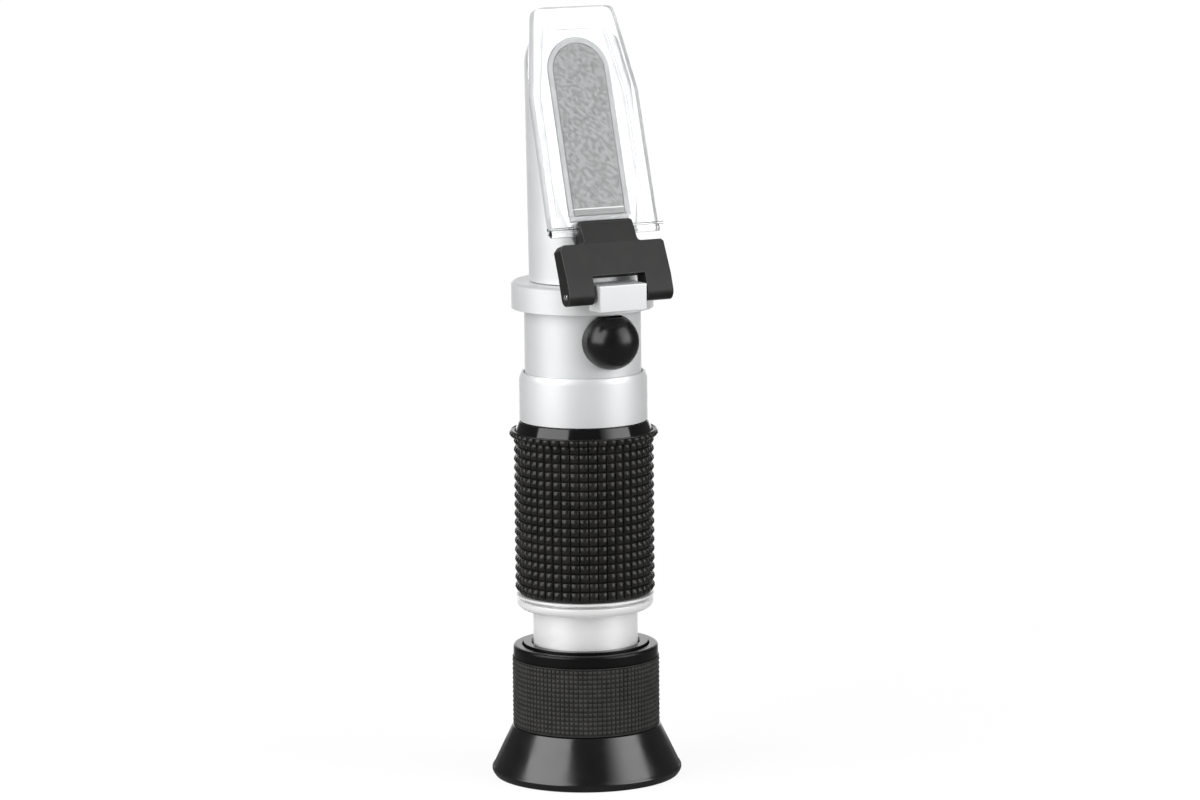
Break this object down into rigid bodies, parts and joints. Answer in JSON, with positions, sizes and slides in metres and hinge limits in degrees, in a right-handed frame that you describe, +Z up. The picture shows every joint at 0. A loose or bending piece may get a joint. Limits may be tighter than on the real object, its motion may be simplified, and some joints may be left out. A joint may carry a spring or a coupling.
{
  "type": "refractometer",
  "caption": "Hand-held optical refractometer standing on its eyecup, with an oblique prism, a hinged clear cover plate, a rubber grip and a turning focus eyepiece.",
  "frame": {"origin": "middle of the eyecup's flat foot, on the surface that the instrument stands on", "axes": "+Z up the tube to the prism, -Y to the front where the cover plate faces, X along the hinge pin"},
  "size_m": [0.04, 0.04, 0.1617],
  "materials": {
    "silver": "satin turned and anodised",
    "black_metal": "black anodised",
    "steel": "ground",
    "brass": "turned",
    "grip_rubber": "moulded, matt",
    "gloss_rubber": "moulded, glossy",
    "gloss_black": "polished",
    "matte_black": "fine texture",
    "white_rim": "satin cement",
    "frosted_glass": "finely ground",
    "clear_glass": "polished",
    "clear_acrylic": "polished clear"
  },
  "bodies": {
    "body": {"main_tube": "silver", "lower_end_ring": "silver", "grip_sleeve": "grip_rubber", "grip_seat_band": "gloss_black", "tube_ring": "silver", "collar": "silver", "prism_head": "silver", "measuring_prism": "frosted_glass", "prism_rim": "white_rim", "screw_boss": "silver", "strip_foot": "black_metal", "strip_screw": "steel", "aperture_stop": "black_metal", "reticle_holder": "black_metal", "reticle_glass": "clear_glass", "reticle_lock_ring": "black_metal", "eyepiece_barrel": "silver", "guide_pin": "steel", "hinge_pin": "steel"},
    "cover": {"cover_plate": "clear_acrylic", "hinge_bracket": "matte_black"},
    "ocular": {"ocular_cell": "black_metal", "eye_lens": "clear_glass", "lens_spacer": "black_metal", "field_lens": "clear_glass", "lens_lock_ring": "black_metal"},
    "eyepiece": {"focus_ring": "black_metal", "focus_nut": "black_metal", "knurled_sleeve": "grip_rubber", "eyecup": "gloss_rubber"},
    "screw": {"calibration_screw": "brass"},
    "cap": {"screw_cap": "gloss_rubber"},
    "objective": {"objective_cell": "black_metal", "objective_lens": "clear_glass", "objective_lock_ring": "black_metal", "bimetal_strip": "brass"}
  },
  "joints": [
    {"name": "cover_hinge", "type": "hinge", "parent": "body", "child": "cover", "pos_m": [0, -0.016, 0.1038], "axis": [1, 0, 0], "range_deg": [0, 130]},
    {"name": "focus_slide", "type": "slide", "parent": "body", "child": "ocular", "axis": [0, 0, 1], "range_m": [-0.003, 0.003]},
    {"name": "focus_turn", "type": "hinge", "parent": "ocular", "child": "eyepiece", "pos_m": [0, 0, 0.02], "axis": [0, 0, 1], "range_deg": [-180, 180]},
    {"name": "calibration_turn", "type": "hinge", "parent": "body", "child": "screw", "pos_m": [0, -0.013, 0.09345], "axis": [0, -1, 0], "range_deg": [-180, 180]},
    {"name": "objective_shift", "type": "slide", "parent": "body", "child": "objective", "axis": [0, -1, 0], "range_m": [-0.00025, 0.00025]},
    {"name": "cap_pull", "type": "slide", "parent": "body", "child": "cap", "axis": [0, -1, 0], "range_m": [0, 0.008]}
  ],
  "couplings": [
    {"joint": "focus_slide", "follows": "focus_turn", "m_per_rad": 0.00095},
    {"joint": "calibration_turn", "follows": "objective_shift", "rad_per_m": 12566}
  ]
}
